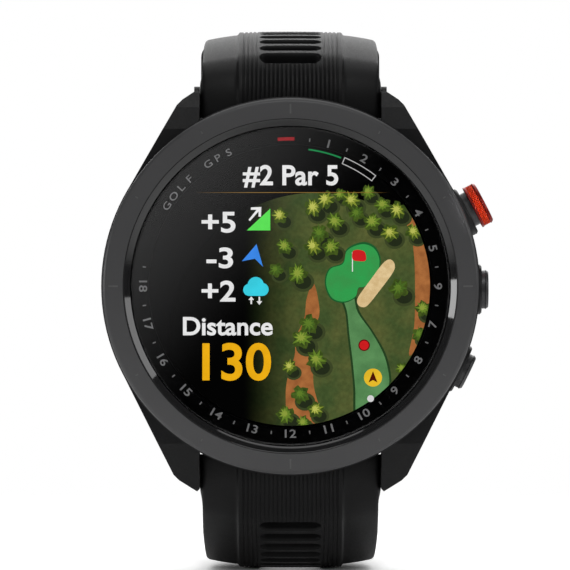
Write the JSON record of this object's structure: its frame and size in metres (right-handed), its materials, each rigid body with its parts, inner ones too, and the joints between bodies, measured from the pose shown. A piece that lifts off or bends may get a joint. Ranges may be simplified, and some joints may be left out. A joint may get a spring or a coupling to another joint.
{
  "type": "golf gps watch",
  "caption": "Round golf GPS watch with a ceramic bezel ring, side push buttons and a slotted silicone strap, unbuckled, that shows distances on a course map.",
  "frame": {"origin": "centre of the sensor window's flat face on the case back, where the watch meets the wrist", "axes": "+Y out of the case back towards the wrist, so the dial faces -Y; +Z towards 12 o'clock; +X towards 3 o'clock, where the buttons are"},
  "size_m": [0.0486, 0.0822, 0.0684],
  "materials": {
    "case_polymer": "fine textured black fibre-reinforced polymer",
    "bezel_ceramic": "dark grey polished ceramic",
    "lens_glass": "clear hardened glass with an anti-glare coat",
    "index_print": "black printed ring with grey numerals",
    "display": "lit colour display",
    "inner_polymer": "plain moulded polymer",
    "board": "green solder mask",
    "shield_metal": "tin-plated steel",
    "chip": "black epoxy",
    "battery_foil": "foil pouch",
    "antenna_copper": "copper",
    "flex": "amber film",
    "rear_polymer": "black moulded polymer",
    "seal_rubber": "black silicone seal",
    "sensor_glass": "smoked window",
    "led": "green emitter",
    "photodiode": "dark silicon",
    "contact_gold": "gold plate",
    "steel": "stainless steel",
    "dark_steel": "dark coated stainless steel",
    "button_red": "anodised red-orange aluminium",
    "button_grey": "dark coated aluminium",
    "vent_mesh": "woven steel mesh",
    "strap_silicone": "matte black silicone"
  },
  "bodies": {
    "case": {"case_body": "case_polymer", "bezel": "bezel_ceramic", "gps_antenna_ring": "antenna_copper", "cover_lens": "lens_glass", "hole_index_ring": "index_print", "display_panel": "display", "display_carrier": "inner_polymer", "main_board": "board", "processor_shield": "shield_metal", "board_chips": "chip", "battery": "battery_foil", "vibration_motor": "steel", "button_switches": "inner_polymer", "display_flex": "flex", "rear_cover": "rear_polymer", "rear_cover_seal": "seal_rubber", "rear_cover_screws": "dark_steel", "sensor_window": "sensor_glass", "sensor_board": "board", "sensor_leds": "led", "sensor_photodiodes": "photodiode", "charging_contacts": "contact_gold", "pressure_vent": "vent_mesh", "upper_lug_bar": "dark_steel", "lower_lug_bar": "dark_steel", "start_button_collar": "case_polymer", "start_button_spring": "steel", "menu_button_collar": "case_polymer", "menu_button_spring": "steel", "back_button_collar": "case_polymer", "back_button_spring": "steel"},
    "start_button": {"start_button_cap": "button_red", "start_button_stem": "steel", "start_button_seal": "seal_rubber", "start_button_clip": "steel"},
    "menu_button": {"menu_button_cap": "button_grey", "menu_button_stem": "steel", "menu_button_seal": "seal_rubber", "menu_button_clip": "steel"},
    "back_button": {"back_button_cap": "button_grey", "back_button_stem": "steel", "back_button_seal": "seal_rubber", "back_button_clip": "steel"},
    "upper_strap": {"upper_strap": "strap_silicone", "upper_strap_hook": "inner_polymer", "fixed_keeper": "strap_silicone", "buckle_pin": "steel"},
    "lower_strap": {"lower_strap": "strap_silicone", "lower_strap_hook": "inner_polymer"},
    "upper_latch": {"upper_strap_latch": "steel"},
    "lower_latch": {"lower_strap_latch": "steel"},
    "buckle_frame": {"buckle_frame": "dark_steel"},
    "buckle_tongue": {"buckle_tongue": "dark_steel"},
    "sliding_keeper": {"sliding_keeper": "strap_silicone"}
  },
  "joints": [
    {"name": "start_button_press", "type": "slide", "parent": "case", "child": "start_button", "axis": [-0.887, 0, -0.4617], "range_m": [0, 0.0007], "stiffness_N_per_m": 1500, "springref_m": -0.0008, "deforming": ["start_button_spring"]},
    {"name": "menu_button_press", "type": "slide", "parent": "case", "child": "menu_button", "axis": [-1, 0, 0], "range_m": [0, 0.0007], "stiffness_N_per_m": 1500, "springref_m": -0.0008, "deforming": ["menu_button_spring"]},
    {"name": "back_button_press", "type": "slide", "parent": "case", "child": "back_button", "axis": [-0.8988, 0, 0.4384], "range_m": [0, 0.0007], "stiffness_N_per_m": 1500, "springref_m": -0.0008, "deforming": ["back_button_spring"]},
    {"name": "upper_strap_hinge", "type": "hinge", "parent": "case", "child": "upper_strap", "pos_m": [0, -0.006, 0.0218], "axis": [1, 0, 0], "range_deg": [-5, 28]},
    {"name": "lower_strap_hinge", "type": "hinge", "parent": "case", "child": "lower_strap", "pos_m": [0, -0.006, -0.0218], "axis": [-1, 0, 0], "range_deg": [-5, 28]},
    {"name": "upper_latch_slide", "type": "slide", "parent": "upper_strap", "child": "upper_latch", "axis": [0, 0, 1], "range_m": [0, 0.0012], "stiffness_N_per_m": 400, "springref_m": -0.0008},
    {"name": "lower_latch_slide", "type": "slide", "parent": "lower_strap", "child": "lower_latch", "axis": [0, 0, -1], "range_m": [0, 0.0012], "stiffness_N_per_m": 400, "springref_m": -0.0008},
    {"name": "buckle_frame_hinge", "type": "hinge", "parent": "upper_strap", "child": "buckle_frame", "pos_m": [0, 0.04496, 0.02161], "axis": [1, 0, 0], "range_deg": [-45, 30]},
    {"name": "buckle_tongue_hinge", "type": "hinge", "parent": "buckle_frame", "child": "buckle_tongue", "pos_m": [0, 0.04496, 0.02161], "axis": [1, 0, 0], "range_deg": [0, 58]},
    {"name": "sliding_keeper_slide", "type": "hinge", "parent": "upper_strap", "child": "sliding_keeper", "pos_m": [0, 0.0142, -0.02398], "axis": [1, 0, 0], "range_deg": [-0.2, 11]}
  ]
}
